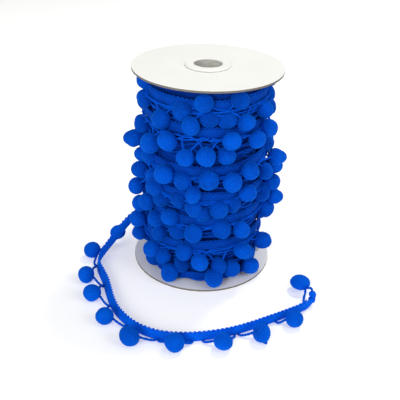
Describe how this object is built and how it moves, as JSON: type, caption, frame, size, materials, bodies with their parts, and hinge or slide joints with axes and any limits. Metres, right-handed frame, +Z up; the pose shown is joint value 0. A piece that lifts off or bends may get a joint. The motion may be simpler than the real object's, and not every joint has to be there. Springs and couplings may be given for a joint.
{
  "type": "pom pom trim on a card spool",
  "caption": "Narrow braid with thread loops that carry small round pompoms, wound on a flanged card spool, its loose end lying in an open curve in front.",
  "frame": {"origin": "on the spool's axis, at the underside of its bottom flange, where it stands", "axes": "+Z up along the spool's axis; -Y towards the loose end in front; +X to the right seen from the front"},
  "size_m": [0.1406, 0.1434, 0.1247],
  "materials": {
    "card": "white paper facing, raw grey-brown edge",
    "pompom_yarn": "clipped yarn pile",
    "braid": "woven braid with a picot edge"
  },
  "bodies": {
    "root": {"bottom_flange": "card", "top_flange": "card", "core_tube": "card", "wound_trim": "pompom_yarn", "loose_end": "braid", "loose_pompom_01": "pompom_yarn", "loose_pompom_02": "pompom_yarn", "loose_pompom_03": "pompom_yarn", "loose_pompom_04": "pompom_yarn", "loose_pompom_05": "pompom_yarn", "loose_pompom_06": "pompom_yarn", "loose_pompom_07": "pompom_yarn", "loose_pompom_08": "pompom_yarn", "loose_pompom_09": "pompom_yarn", "loose_pompom_10": "pompom_yarn", "loose_pompom_11": "pompom_yarn"}
  },
  "joints": []
}
